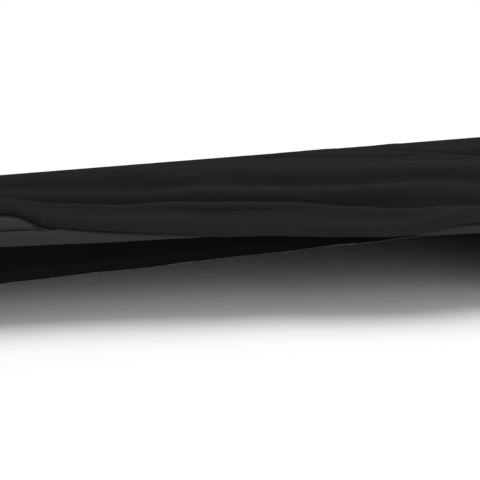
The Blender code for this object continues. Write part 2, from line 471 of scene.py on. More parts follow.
HEM_SECTIONS = tuple(HemSection(*row) for row in (
    (-0.61, -0.022, -0.064, 90, 0.0),
    (-0.56, -0.022, -0.058, 90, 0.0),
    (-0.515, -0.021, -0.034, 90, 0.0),
    (-0.475, -0.008, -0.004, 65, 0.0),
    (-0.425, 0.04, 0.006, 70, 0.0),
    (-0.37, 0.096, 0.01, 80, 0.0),
    (-0.31, 0.131, 0.011, 88, 0.0),
    (-0.255, 0.137, 0.011, 88, 0.0),
    (-0.203, 0.125, 0.01, 88, 0.0),
    (-0.15, 0.11, 0.01, 88, 0.0),
    (-0.097, 0.094, 0.01, 88, 0.0),
    (-0.045, 0.079, 0.0125, 95, 0.15),
    (0.009, 0.063, 0.016, 168, 0.95),
    (0.058, 0.041, 0.014, 174, 1.0),
    (0.104, 0.02, 0.0125, 174, 1.0),
    (0.14, 0.01, 0.0115, 165, 0.9),
    (0.175, 0.006, 0.011, 120, 0.4),
    (0.205, 0.002, 0.0075, 88, 0.1),
    (0.235, -0.008, 0.003, 72, 0.0),
    (0.27, -0.019, -0.01, 65, 0.0),
    (0.31, -0.022, -0.034, 88, 0.0),
    (0.355, -0.022, -0.057, 90, 0.0),
    (0.4, -0.022, -0.064, 90, 0.0),
))


# A lap's half width behind its middle, as a share of that in front.
LAP_BACK = 0.5
# How steeply a crease's shoulders fall, and how round its middle is.
CREASE_SLOPE = 1.8
CREASE_ROUND = 0.05


class FoldShape(Enum):
    """How a fold's height changes across it."""

    SOFT = "as gentle in front as behind"
    LAP = "steep behind and gentle in front"
    HOLLOW = "flat at the bottom, with a soft shoulder on each side"
    CREASE = "a narrow line with soft shoulders"

    @property
    def fade(self) -> float:
        """Over what length the fold fades in and out: a crease starts more suddenly."""
        return 0.022 if self is FoldShape.CREASE else 0.065

    def profile(self, across: np.ndarray) -> np.ndarray:
        """The fold's height.

        Args:
            across: distance from the fold's middle in half widths, positive to the front.

        Returns:
            1 at the middle, falling to 0 on both sides.
        """
        if self is FoldShape.LAP:
            return np.exp(-np.where(across < 0, across / LAP_BACK, across) ** 2)
        if self is FoldShape.CREASE:
            return np.exp(-CREASE_SLOPE * (np.sqrt(across**2 + CREASE_ROUND) - CREASE_ROUND**0.5))
        return np.exp(-(across**4)) if self is FoldShape.HOLLOW else np.exp(-(across**2))


class Datum(Enum):
    """What a fold's places are measured from."""

    ACROSS = "0 at the back edge, 1 at the panel's front edge and 2 at the front hem"
    HEM = "metres from the front hem, back over the cloth"


class Fold(NamedTuple):
    """One fold that runs along the cover, past stated places across it.

    line has an (x, place) for each bend of it, the fold fades in and out at its ends, and lean is
    how far its crest leans to the front.
    """

    name: str
    shape: FoldShape
    datum: Datum
    height: float
    half_width: float
    line: tuple[tuple[float, float], ...]
    lean: float = 0.0

    def centre(self, x: float) -> float:
        """The fold's place at x, with the bends of its line blended."""
        xs, places = zip(*self.line)
        steps = BLEND_STEPS * self.shape.fade / FoldShape.SOFT.fade
        return float(BLEND_WEIGHTS @ np.interp(x + steps, xs, places))

    def strength(self, x: float) -> float:
        """How much of the fold there is at x: none at its ends."""
        start, end = self.line[0][0], self.line[-1][0]
        fade = self.shape.fade
        return float(ease((x - start) / fade) * ease((end - x) / fade))


# How a table's bends are blended: its values are averaged over these steps along the cover.
BLEND_STEPS = 0.018 * np.array((-1.5, -1.0, -0.5, 0.0, 0.5, 1.0, 1.5))
BLEND_WEIGHTS = np.array((1, 2, 3, 3, 3, 2, 1)) / 15

SOFT, LAP, HOLLOW, CREASE = FoldShape
ACROSS, HEM = Datum
FOLDS = (
    Fold("back ridge", SOFT, ACROSS, 0.004, 0.01, (
        (-0.4, 0.1), (-0.168, 0.1), (-0.106, 0.25), (-0.048, 0.6), (0.036, 1.02), (0.096, 1.12),
        (0.16, 1.15), (0.224, 1.2), (0.294, 1.21), (0.44, 1.18)), lean=0.001),
    Fold("back valley", SOFT, ACROSS, -0.0035, 0.015, (
        (-0.4, 0.4), (-0.2, 0.5), (-0.142, 0.7), (-0.084, 0.94), (-0.026, 1.08), (0.034, 1.18),
        (0.094, 1.24), (0.154, 1.27), (0.216, 1.32), (0.44, 1.3))),
    Fold("middle fold", SOFT, ACROSS, 0.0036, 0.01, (
        (-0.4, 0.98), (-0.198, 1.13), (-0.144, 1.235), (-0.088, 1.28), (-0.032, 1.31),
        (0.026, 1.35), (0.084, 1.4), (0.142, 1.44), (0.198, 1.5), (0.4, 1.5)), lean=0.001),
    Fold("left hollow", HOLLOW, ACROSS, -0.007, 0.043, (
        (-0.4, 0.46), (-0.2, 0.53), (-0.161, 0.66), (-0.122, 0.77), (-0.083, 0.86), (-0.01, 1.02))),
    Fold("middle valley", SOFT, ACROSS, -0.0042, 0.008, (
        (-0.36, 0.98), (-0.198, 1.13), (-0.182, 1.18), (-0.158, 1.31), (-0.092, 1.445),
        (-0.036, 1.45), (0.018, 1.47), (0.072, 1.52), (0.11, 1.575), (0.138, 1.645), (0.17, 1.72),
        (0.2, 1.765), (0.24, 1.78), (0.36, 1.8))),
    Fold("left line", CREASE, ACROSS, -0.0027, 0.006, (
        (-0.26, 1.02), (-0.2, 1.12), (-0.185, 1.175), (-0.163, 1.245), (-0.144, 1.295),
        (-0.126, 1.335), (-0.09, 1.395), (-0.064, 1.42))),
    Fold("right hollow", SOFT, ACROSS, -0.005, 0.014, (
        (0.06, 1.44), (0.124, 1.52), (0.17, 1.61), (0.205, 1.67), (0.236, 1.68), (0.4, 1.7))),
    Fold("front fold", LAP, ACROSS, 0.004, 0.01, (
        (-0.34, 1.03), (-0.198, 1.2), (-0.182, 1.26), (-0.158, 1.385), (-0.092, 1.52),
        (-0.036, 1.53), (0.018, 1.55), (0.072, 1.6), (0.11, 1.665), (0.138, 1.73), (0.17, 1.8),
        (0.2, 1.845), (0.24, 1.86), (0.34, 1.88))),
    Fold("front valley", CREASE, ACROSS, -0.0026, 0.005, (
        (-0.185, 1.27), (-0.158, 1.41), (-0.128, 1.48), (-0.092, 1.56), (-0.04, 1.63),
        (0.014, 1.625), (0.068, 1.65), (0.125, 1.68))),
    Fold("front roll", SOFT, ACROSS, 0.0022, 0.012, (
        (-0.3, 1.2), (-0.198, 1.5), (-0.146, 1.66), (-0.092, 1.8), (-0.04, 1.86), (0.014, 1.86),
        (0.068, 1.87), (0.124, 1.88), (0.2, 1.92), (0.3, 1.94))),
    Fold("back crest", CREASE, ACROSS, 0.002, 0.006, (
        (-0.13, 0.24), (-0.077, 0.44), (-0.048, 0.59), (-0.019, 0.76), (0.008, 0.91), (0.036, 1.01),
        (0.066, 1.06), (0.097, 1.09), (0.161, 1.11), (0.225, 1.16), (0.29, 1.14))),
    Fold("middle crest", CREASE, ACROSS, 0.0014, 0.006, (
        (-0.18, 1.11), (-0.144, 1.2), (-0.088, 1.28), (-0.032, 1.31), (0.024, 1.37), (0.081, 1.4),
        (0.138, 1.43), (0.193, 1.51), (0.24, 1.53))),
    Fold("front crest", CREASE, ACROSS, 0.0018, 0.005, (
        (-0.22, 1.15), (-0.194, 1.2), (-0.181, 1.29), (-0.156, 1.385), (-0.118, 1.42),
        (-0.09, 1.46), (-0.037, 1.555), (0.018, 1.6), (0.071, 1.64), (0.11, 1.7), (0.135, 1.76),
        (0.163, 1.81), (0.2, 1.88), (0.24, 1.9))),
    Fold("pocket", SOFT, HEM, 0.0036, 0.005, (
        (-0.33, 0.023), (-0.2, 0.0225), (-0.18, 0.0205), (-0.16, 0.015))),
    Fold("crease", CREASE, HEM, -0.0062, 0.003, (
        (-0.425, 0.004), (-0.385, 0.015), (-0.34, 0.026), (-0.28, 0.033), (-0.235, 0.034),
        (-0.2, 0.0325), (-0.187, 0.0312), (-0.18, 0.0288), (-0.169, 0.0202), (-0.157, 0.0156),
        (-0.139, 0.0122), (-0.126, 0.0104), (-0.104, 0.0083), (-0.078, 0.0062), (-0.05, 0.0044),
        (-0.026, 0.0028), (0.01, 0.001))),
    Fold("lower crease", CREASE, HEM, -0.0056, 0.0026, (
        (-0.375, 0.004), (-0.335, 0.01), (-0.28, 0.0136), (-0.2, 0.0146), (-0.188, 0.015),
        (-0.176, 0.014), (-0.164, 0.012), (-0.145, 0.0118))),
    Fold("right crease", CREASE, HEM, -0.0052, 0.003, (
        (0.124, 0.0008), (0.14, 0.0016), (0.15, 0.0028), (0.162, 0.0044), (0.178, 0.0064),
        (0.196, 0.0073), (0.214, 0.0083), (0.26, 0.0105), (0.36, 0.013))),
    Fold("lobe", SOFT, HEM, 0.0016, 0.006, (
        (-0.24, 0.04), (-0.188, 0.039), (-0.17, 0.031), (-0.157, 0.0245), (-0.139, 0.0205),
        (-0.126, 0.0185), (-0.104, 0.0165), (-0.078, 0.015), (-0.026, 0.014), (0.13, 0.013),
        (0.16, 0.013), (0.2, 0.0165), (0.3, 0.0195))),
    Fold("edge fold", SOFT, ACROSS, 0.0032, 0.007, (
        (0.03, 0.03), (0.11, 0.08), (0.161, 0.14), (0.187, 0.26), (0.215, 0.36), (0.29, 0.6))),
    Fold("edge valley", SOFT, ACROSS, -0.0044, 0.009, (
        (0.05, 0.2), (0.12, 0.28), (0.152, 0.47), (0.173, 0.66), (0.202, 0.81), (0.28, 0.95))),
    Fold("end fold", SOFT, ACROSS, 0.0034, 0.008, (
        (0.18, 0.04), (0.235, 0.06), (0.276, 0.25), (0.29, 0.7), (0.31, 0.89), (0.4, 0.95))),
    Fold("end valley", SOFT, ACROSS, -0.0044, 0.009, (
        (0.17, 0.1), (0.205, 0.14), (0.244, 0.47), (0.262, 0.82), (0.288, 0.98), (0.32, 1.04),
        (0.4, 1.06))),
)


@dataclass(frozen=True)
class GridSteps:
    """How many steps the cloth has across each stretch."""

    turn: int = 5
    wall: int = 10
    hem: int = 3
    panel: int = 30
    fall: int = 50
    curve: int = 10
    near_hem: int = 26
    drawn_hem: int = 8

    @property
    def levels(self) -> int:
        """Steps down a wall, from the edge of the top to the hem."""
        return self.turn + self.wall + self.hem

    @property
    def front(self) -> int:
        """Steps from the panel's front edge to the front hem."""
        return self.fall + self.levels


class Section(NamedTuple):
    """The cloth's line across the cover at one x.

    points are (y, z) rows from the back hem to the front hem, place is each point's place across
    the cover, along is its length along the line, and past_edge its length past the back edge.
    front is the length from the panel's front edge to the front hem.
    """

    x: float
    points: np.ndarray
    place: np.ndarray
    along: np.ndarray
    past_edge: np.ndarray
    front: float


def cut_corner(
    before: np.ndarray, corner: np.ndarray, after: np.ndarray, length: float, steps: int
) -> list[np.ndarray]:
    """Rounds one corner of a section.

    Args:
        before: the point that the line comes from.
        corner: the corner.
        after: the point that the line goes to.
        length: how far before and after the corner the round starts and ends.
        steps: how many steps the round has.

    Returns:
        The points of the round.
    """
    into = (corner - before) / np.linalg.norm(corner - before)
    out = (after - corner) / np.linalg.norm(after - corner)
    start, end = corner - into * length, corner + out * length
    return [
        start * (1 - t) ** 2 + corner * 2 * t * (1 - t) + end * t**2
        for t in np.linspace(0, 1, steps + 1)
    ]


def lengths_along(points: np.ndarray) -> np.ndarray:
    """Length along a line of points, at each point."""
    steps = np.linalg.norm(np.diff(points, axis=0), axis=1)
    return np.concatenate([[0], np.cumsum(steps)])


def points_at(line: np.ndarray, places: np.ndarray) -> np.ndarray:
    """Points at stated lengths along a line of points."""
    along = lengths_along(line)
    return np.column_stack([np.interp(places, along, column) for column in line.T])


# How much of the front hem's paleness, mostly painted bounce light, there is at each x.
HEM_PALENESS_AND_BOUNCE = ((-0.46, 0.4), (-0.38, 1.0), (-0.10, 1.0), (0.16, 0.8), (0.36, 0.8), (0.46, 0.4))
# Which field sways the first fold's place.
PLACE_FIELDS = 40
# The long waves of the walls: the share, the turns and the start of each.
LONG_WAVES = ((1.0, 41, 0.6), (0.7, 67, 2.1))
WALL_RIPPLE = Ripple(21, 0.0012, 31, 9)
FINE_CREASES = (Ripple(3, 0.00030, 9, 62), Ripple(5, 0.00014, 21, 150))
HEM_PUCKERS = (Ripple(11, 0.0004, 55), Ripple(12, 0.0003, 120))
# Where the ripples start for the back hem and the end walls, away from those of the front hem.
BACK_HEM = 3.0
END_WALL = 2.0
# How many points up a wall a hem line is looked for on, and which of them gives its way up.
WALL_POINTS = 13
WAY_UP = 3


@dataclass
class CoverCloth:
    """The sheet of the cover: its sections, its folds, its end walls and its hem.

    grid has its points by row and column, rises is how far the folds lift each, and across is the
    length along the row at each. A name with most or share is a part of the length that it limits.
    """

    body: FittedBody
    finish: JerseyFinish = field(default_factory=JerseyFinish)
    steps: GridSteps = field(default_factory=GridSteps)
    row_marks: tuple[float, ...] = (-0.60, -0.26, 0.27, 0.42)
    row_counts: tuple[int, ...] = (8, 48, 196, 26, 26)
    cloth: float = 0.0012
    hem_cloth: float = 0.0024
    hem_width: float = 0.013
    hem_edge: float = 0.0015
    hem_draw_in: float = 0.004
    edge_round: float = 0.011
    panel_round: float = 0.020
    panel_most: float = 0.55
    knee_round: float = 0.022
    knee_most: tuple[float, float] = (0.7, 0.4)
    knee_turn: float = 1.6
    knee_fade: float = 0.030
    bend_share: float = 0.6
    band_round: float = 0.004
    near_hem: float = 0.042
    near_hem_most: float = 0.55
    fall_most: float = 0.80
    turn_most: float = 0.5
    full_front: float = 0.120
    tight_edge: float = 0.022
    fitted_right: tuple[float, float] = (0.150, 0.450)
    fitted_left: tuple[float, float] = (-0.320, -0.600)
    fold_height_drift: tuple[float, float] = (0.22, 13)
    fold_place_drift: tuple[float, float] = (0.10, 22)
    groove: float = 0.0005
    groove_width: float = 0.0018
    band_height: float = 0.0003
    pucker_reach: float = 1.6
    long_wave: float = 0.0014
    end_wave: float = 0.7
    full_rise: float = 0.005
    paler_edge: float = 0.0020
    front_reach: float = 0.05
    plain_paleness: float = 0.4
    roll_painted_light: float = 0.14
    roll_start: float = 0.018
    roll_fade: float = 0.008
    flat_width: float = 1.50
    flat_length: float = 0.47
    flat_area: float = 0.62
    grid: np.ndarray = field(init=False)
    rises: np.ndarray = field(init=False)
    across: np.ndarray = field(init=False)

    def __post_init__(self) -> None:
        """Lays out all rows, from the hem of the left end to the hem of the right end."""
        rows, rises = zip(*(self.row_along(x) for x in self.stations()))
        levels = self.steps.levels
        mirror = np.array((-1, 1, 1))
        right = [self.row_down_end(rows[-1], level) for level in range(1, levels + 1)]
        left = [
            self.row_down_end(rows[0] * mirror, level) * mirror for level in range(levels, 0, -1)
        ]
        flat = [np.zeros(rises[0].shape)] * levels
        self.grid = np.array(left + list(rows) + right)
        self.rises = np.array(flat + list(rises) + flat)
        self.across = np.array([lengths_along(row) for row in self.grid])

    def hem_band(self, x: float) -> tuple[np.ndarray, np.ndarray]:
        """The front hem's band at x, with the corners of its table blended.

        Args:
            x: the place along the cover.

        Returns:
            (y, z) of the band's top and of its end.
        """
        xs, *columns = zip(*HEM_SECTIONS)
        behind, above, way, tucked = (
            BLEND_WEIGHTS @ np.interp(x + BLEND_STEPS, xs, column) for column in columns
        )
        lowest = np.array((self.body.step_front_y + behind, above - self.body.step_drop))
        turn = math.radians(way)
        band = -self.hem_width * np.array((math.cos(turn), math.sin(turn)))
        return lowest - band * (1 - tucked), lowest + band * tucked

    def wall_lengths(self, start: float, end: float) -> np.ndarray:
        """Lengths down a wall from one to the other, with the hem's own steps last."""
        band = end - self.hem_width
        wall = np.linspace(start, band, self.steps.wall + 1)[1:]
        return np.concatenate([wall, np.linspace(band, end, self.steps.hem + 1)[1:]])

    def front_lengths(self, x: float, length: float) -> np.ndarray:
        """Lengths at which the columns of the front lie.

        Args:
            x: the place along the cover.
            length: the front's whole length there.

        Returns:
            Lengths that are close together near the hem where the cloth is drawn back, and that
            follow the front edge and wall where it is fitted.
        """
        band = length - self.hem_width
        roll = band - min(self.near_hem, self.near_hem_most * band)
        fall_steps = self.steps.front - self.steps.near_hem - self.steps.drawn_hem
        drawn = np.concatenate([
            np.linspace(0, roll, fall_steps + 1),
            np.linspace(roll, band, self.steps.near_hem + 1)[1:],
            np.linspace(band, length, self.steps.drawn_hem + 1)[1:],
        ])
        round_start = min(self.body.slope_length - self.knee_round, self.fall_most * length)
        most = self.turn_most * (length - round_start)
        round_end = round_start + min(self.knee_turn * self.knee_round, most)
        fall = np.linspace(0, round_start, self.steps.fall + 1)
        turn = np.linspace(round_start, round_end, self.steps.turn + 1)[1:]
        fitted = np.concatenate([fall, turn, self.wall_lengths(round_end, length)])
        beyond = max(
            (x - start) / (end - start) for start, end in (self.fitted_right, self.fitted_left)
        )
        return drawn + (fitted - drawn) * ease(beyond)

    def section(self, x: float) -> Section:
        """The cloth's line across the cover at x, without its folds.

        Args:
            x: the place along the cover.

        Returns:
            The section.
        """
        body, curve = self.body, self.steps.curve
        band_top, hem = self.hem_band(x)
        back_hem = np.array((body.back_y - self.hem_draw_in, body.hem_z))
        back_edge = np.array((body.back_y, body.top_z))
        shoulder = body.shoulder
        fitted = ease((self.hem_width - body.step_drop - band_top[1]) / self.knee_fade)
        on_slope = shoulder + (band_top - shoulder) * self.bend_share
        knee = on_slope * (1 - fitted) + body.knee * fitted
        slope = np.linalg.norm(knee - shoulder)
        panel_round = min(self.panel_round, self.panel_most * slope)
        of_wall, of_slope = self.knee_most
        below = np.linalg.norm(band_top - knee)
        knee_round = min(self.knee_round, of_wall * below, of_slope * slope)

        back_round = cut_corner(back_hem, back_edge, shoulder, self.edge_round, self.steps.turn)
        over_panel = cut_corner(back_edge, shoulder, knee, panel_round, 2 * curve)
        over_knee = cut_corner(shoulder, knee, band_top, knee_round, 2 * curve)
        over_band = cut_corner(knee, band_top, hem, self.band_round, curve)
        wall = np.array([back_round[0], back_hem])
        panel = np.array([back_round[-1]] + over_panel[: curve + 1])
        front = np.array(over_panel[curve:] + over_knee + over_band + [hem])
        wall_length, panel_length, front_length = (
            lengths_along(line)[-1] for line in (wall, panel, front)
        )
        panel_lengths = np.linspace(0, panel_length, self.steps.panel + 1)
        points = np.concatenate([
            points_at(wall, self.wall_lengths(0, wall_length))[::-1],
            back_round[:-1],
            points_at(panel, panel_lengths)[:-1],
            points_at(front, self.front_lengths(x, front_length)),
        ])
        along = lengths_along(points)
        edge, middle = along[self.steps.levels], along[self.steps.levels + self.steps.panel]
        front_length = along[-1] - middle
        on_front = 1 + (along - middle) / min(front_length, body.slope_length)
        place = np.where(along < middle, (along - edge) / (middle - edge), on_front)
        return Section(x, points, place, along, along - edge, front_length)

    def folds(self, section: Section) -> tuple[np.ndarray, np.ndarray]:
        """How the folds move the cloth.

        Args:
            section: the cloth's line at one x.

        Returns:
            How far each point is lifted off the section, and how far it leans to the front.
        """
        x, place, along = section.x, section.place, section.along
        lift, lean = np.zeros((2, len(place)))
        squeeze = min(1.0, section.front / self.full_front)
        for number, fold in enumerate(FOLDS):
            strength = fold.strength(x)
            if strength == 0:
                continue
            if fold.datum is HEM:
                middle = along[-1] - fold.centre(x)
            else:
                middle = np.interp(fold.centre(x), place, along)
                strength *= squeeze
            strength *= 1 + Ripple(number, *self.fold_height_drift).at(x)
            sway = Ripple(number + PLACE_FIELDS, *self.fold_place_drift).at(x)
            across = (along - middle) / fold.half_width + sway
            profile = strength * fold.shape.profile(across)
            lift += fold.height * profile
            lean += fold.lean * profile
        tight = ease(section.past_edge / self.tight_edge)
        return lift * tight, lean * tight

    def creases(self, section: Section) -> np.ndarray:
        """How far the fine lines that run along the drawn cloth lift each point."""
        loose = ease(section.past_edge / (2 * self.tight_edge))
        return loose * [sum(fine.at(section.x, s) for fine in FINE_CREASES) for s in section.along]

    def hem_relief(self, from_edge: np.ndarray, along_hem: float) -> np.ndarray:
        """The line where the stitches draw the cloth in, and the band that stands up below it.

        Args:
            from_edge: distance from the hem's edge.
            along_hem: length along the hem, which the puckers follow.

        Returns:
            How far each point is lifted.
        """
        line = -self.groove * np.exp(-(((from_edge - self.hem_width) / self.groove_width) ** 2))
        band = np.clip(1 - (from_edge / self.hem_width - 0.5) ** 2 * 4, 0, 1)
        near = np.exp(-((from_edge / (self.pucker_reach * self.hem_width)) ** 2))
        pucker = sum(ripple.at(along_hem) for ripple in HEM_PUCKERS)
        return line + self.band_height * band + pucker * near

    def wall_waves(self, x: float, z: float) -> float:
        """Soft upright waves of a hanging wall, none at its top and most at its hem."""
        body = self.body
        depth = (body.top_z - z) / (body.top_z - body.hem_z)
        waves = sum(share * math.sin(x * turns + start) for share, turns, start in LONG_WAVES)
        return depth * (self.long_wave * waves + WALL_RIPPLE.at(x, z))

    def row_along(self, x: float) -> tuple[np.ndarray, np.ndarray]:
        """One row of the cloth between the ends.

        Args:
            x: the row's place along the cover.

        Returns:
            Its points as (x, y, z), and how far the folds lift each.
        """
        section = self.section(x)
        levels = self.steps.levels
        tangent = np.gradient(section.points, axis=0)
        tangent /= np.linalg.norm(tangent, axis=1)[:, None]
        outward = np.stack([tangent[:, 1], -tangent[:, 0]], axis=1)
        rise, lean = self.folds(section)
        lift = rise + self.creases(section)
        lift += self.hem_relief(section.along[-1] - section.along, x)
        lift += self.hem_relief(section.along, x + BACK_HEM)
        line = section.points + outward * lift[:, None] + tangent * lean[:, None]
        line[:levels, 0] += [self.wall_waves(x, z) for z in line[:levels, 1]]
        return np.column_stack([np.full(len(line), x), line]), rise

    def end_drop(self, level: int, height: float) -> tuple[float, float]:
        """A level of an end wall.

        Args:
            level: steps down from the top's edge.
            height: the wall's whole height.

        Returns:
            How far out and how far down the level is.
        """
        radius = self.edge_round
        if level <= self.steps.turn:
            turn = math.pi / 2 * level / self.steps.turn
            return radius * math.sin(turn), radius * (1 - math.cos(turn))
        down = radius + self.wall_lengths(0, height - radius)[level - self.steps.turn - 1]
        relief = float(self.hem_relief(np.array(height - down), 0.0))
        return radius - self.hem_draw_in * (down / height) ** 2 + relief, down

    def corner_angle(self, end_level: int, side_level: int) -> float:
        """Angle round an upright corner: 0 on the long wall and 90 degrees on the end wall."""
        if end_level <= side_level:
            return math.pi / 4 * end_level / side_level
        return math.pi / 2 - math.pi / 4 * side_level / end_level

    def row_down_end(self, base: np.ndarray, level: int) -> np.ndarray:
        """One row of the wall at the +X end.

        Args:
            base: the last row of the top.
            level: steps down from it.

        Returns:
            The row's points as (x, y, z).
        """
        levels, last = self.steps.levels, len(base) - 1
        points = []
        for column, (x, y, z) in enumerate(base):
            side_level = max(levels - column, column - (last - levels), 0)
            edge = base[min(max(column, levels), last - levels)]
            ring = max(level, side_level)
            share = math.sin(self.corner_angle(level, side_level)) ** 2
            out, down = self.end_drop(ring, edge[2] - self.body.hem_z)
            ring_column = levels - ring if column < levels else last - levels + ring
            side = base[ring_column] if side_level else edge
            wave = self.end_wave * self.wall_waves(y + END_WALL, edge[2] - down)
            points.append((
                x + out * math.sqrt(share) + wave * share,
                edge[1] + (side[1] - edge[1]) * math.sqrt(1 - share) * (side_level > 0),
                side[2] * (1 - share) + (edge[2] - down) * share,
            ))
        return np.array(points)

    def stations(self) -> np.ndarray:
        """x of each row between the ends, closest together where the folds are sharpest.

        Returns:
            The values, in order.
        """
        limit = self.body.end_x - self.edge_round
        marks = (-limit, *self.row_marks, limit)
        parts = [
            np.linspace(start, end, count + 1)[:-1]
            for start, end, count in zip(marks, marks[1:], self.row_counts)
        ]
        return np.append(np.concatenate(parts), limit)

    def weave_map(self) -> np.ndarray:
        """Where each point lies on the flat cloth, in metres.

        Returns:
            (along, across) by row and column.
        """
        middle = self.grid[:, self.steps.levels + self.steps.panel // 2]
        along = np.repeat(lengths_along(middle)[:, None], self.grid.shape[1], axis=1)
        return np.stack([along, self.across], axis=2)

    def near_hem_weight(self) -> np.ndarray:
        """Where the turned hem is.

        Returns:
            1 on the hem and 0 on the rest, by row and column.
        """
        down = np.array([lengths_along(column) for column in self.grid.transpose(1, 0, 2)]).T
        edges = (down, down[-1] - down, self.across, self.across[:, -1:] - self.across)
        from_edge = np.minimum.reduce(edges)
        return 1 - ease((from_edge - self.hem_width) / self.hem_edge + 0.5)

    def paler_hem_and_bounce_weight(self) -> np.ndarray:
        """Where the paler hem shows.

        Returns:
            1 where it does and 0 on the rest, by row and column: the turned hem, and at the front
            all that lies below a crease near it, painted paler as bounce light from below, with a
            faint painted light over the roll just above.
        """
        from_edge = self.across[:, -1:] - self.across
        left, right = (fold.line for fold in FOLDS if fold.name in ("crease", "right crease"))
        creases = Fold("both creases", CREASE, HEM, 0.0, 0.0, left + right)
        width, xs = self.hem_width, self.grid[:, self.steps.levels, 0]
        upto = np.array([width + (creases.centre(x) - width) * creases.strength(x) for x in xs])
        front = 1 - ease((from_edge - upto[:, None]) / self.paler_edge + 0.5)
        front *= np.interp(xs, *zip(*HEM_PALENESS_AND_BOUNCE))[:, None]
        # A faint painted light over the roll just above the front hem.
        roll = 1 - ease((from_edge - self.roll_start) / self.roll_fade + 0.5)
        front = np.maximum(front, self.roll_painted_light * roll)
        plain = self.plain_paleness * self.near_hem_weight()
        return np.where(from_edge < self.front_reach, front, plain)

    def mesh(self) -> bpy.types.Mesh:
        """The sheet's mesh, with the map and the values that its finish reads.

        Returns:
            The mesh, with its faces pointing out of the cover.
        """
        rows, columns = self.grid.shape[:2]
        corner = np.arange(rows * columns).reshape(rows, columns)
        a, b, c, d = corner[:-1, :-1], corner[:-1, 1:], corner[1:, 1:], corner[1:, :-1]
        faces = np.stack([a, d, c, b], axis=2).reshape(-1, 4)
        mesh = bpy.data.meshes.new("jersey_cover")
        mesh.from_pydata(self.grid.reshape(-1, 3).tolist(), [], faces.tolist())
        mesh.shade_smooth()
        weave = self.weave_map().reshape(-1, 2)
        layer = mesh.uv_layers.new(name="weave")
        layer.data.foreach_set("uv", weave[faces.ravel()].ravel())
        # rise sets the painted highlight on ridges and the painted shade in valleys.
        rise = np.clip(self.rises / self.full_rise, -1, 1)
        for name, value in {"hem": self.paler_hem_and_bounce_weight(), "rise": rise}.items():
            attribute = mesh.attributes.new(name, "FLOAT", "POINT")
            attribute.data.foreach_set("value", value.astype(np.float32).ravel())
        return mesh

    def thicken(self, piece: bpy.types.Object) -> None:
        """Gives the sheet its thickness, doubled where the hem is turned up.

        Args:
            piece: the sheet.
        """
        doubled = piece.vertex_groups.new(name="turned_hem")
        for number, share in enumerate(self.near_hem_weight().ravel()):
            if share > 0:
                doubled.add([number], float(share), "REPLACE")
        cloth = piece.modifiers.new("cloth thickness", "SOLIDIFY")
        cloth.thickness = self.hem_cloth
        cloth.offset = -1.0
        cloth.vertex_group = doubled.name
        cloth.thickness_vertex_group = self.cloth / self.hem_cloth

    def hem_line(self, from_edge: float) -> tuple[np.ndarray, np.ndarray]:
        """A closed line all round the hem, on the cloth.

        Args:
            from_edge: the line's distance from the hem's edge.

        Returns:
            The line's points, and the way out of the cloth at each.
        """
        rows, columns = (count - 1 for count in self.grid.shape[:2])
        levels = self.steps.levels
        edge = [(row, 0) for row in range(rows, 0, -1)]
        edge += [(0, column) for column in range(columns)]
        edge += [(row, columns) for row in range(rows)]
        edge += [(rows, column) for column in range(columns, 0, -1)]
        line, outward = [], []
        for place in np.array(edge):
            inner = np.clip(place, levels, (rows - levels, columns - levels))
            up_wall = np.array([
                self.on_grid(inner + (place - inner) * (levels - step) / levels)
                for step in range(WALL_POINTS)
            ])
            line.append(points_at(up_wall, np.array([from_edge]))[0])
            outward.append(up_wall[0] - up_wall[WAY_UP])
        line = np.array(line)
        ahead = np.roll(line, -1, axis=0) - np.roll(line, 1, axis=0)
        outward = np.cross(ahead, np.array(outward))
        return line, outward / np.linalg.norm(outward, axis=1)[:, None]

    def on_grid(self, place: np.ndarray) -> np.ndarray:
        """The point at a place between the rows and columns.

        Args:
            place: (row, column), which need not be whole numbers.

        Returns:
            The point.
        """
        row, column = (int(min(p, count - 2)) for p, count in zip(place, self.grid.shape))
        u, v = place[0] - row, place[1] - column
        pair = self.grid[row : row + 2, column : column + 2]
        near, far = pair[:, 0] * (1 - v) + pair[:, 1] * v
        return near * (1 - u) + far * u

    def build(self) -> bpy.types.Object:
        """Builds and dresses the sheet.

        Returns:
            The piece.
        """
        piece = add_object("jersey_cover", self.mesh())
        piece.data.materials.append(self.finish.make())
        self.thicken(piece)
        return piece

    def declare(self, piece: bpy.types.Object, sewn_on: Sequence[bpy.types.Object]) -> None:
        """Attaches the sheet to the body, and hides the solid that it dresses.

        Args:
            piece: the sheet.
            sewn_on: not used.
        """
        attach(piece, BODY)
        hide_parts(SOLID)


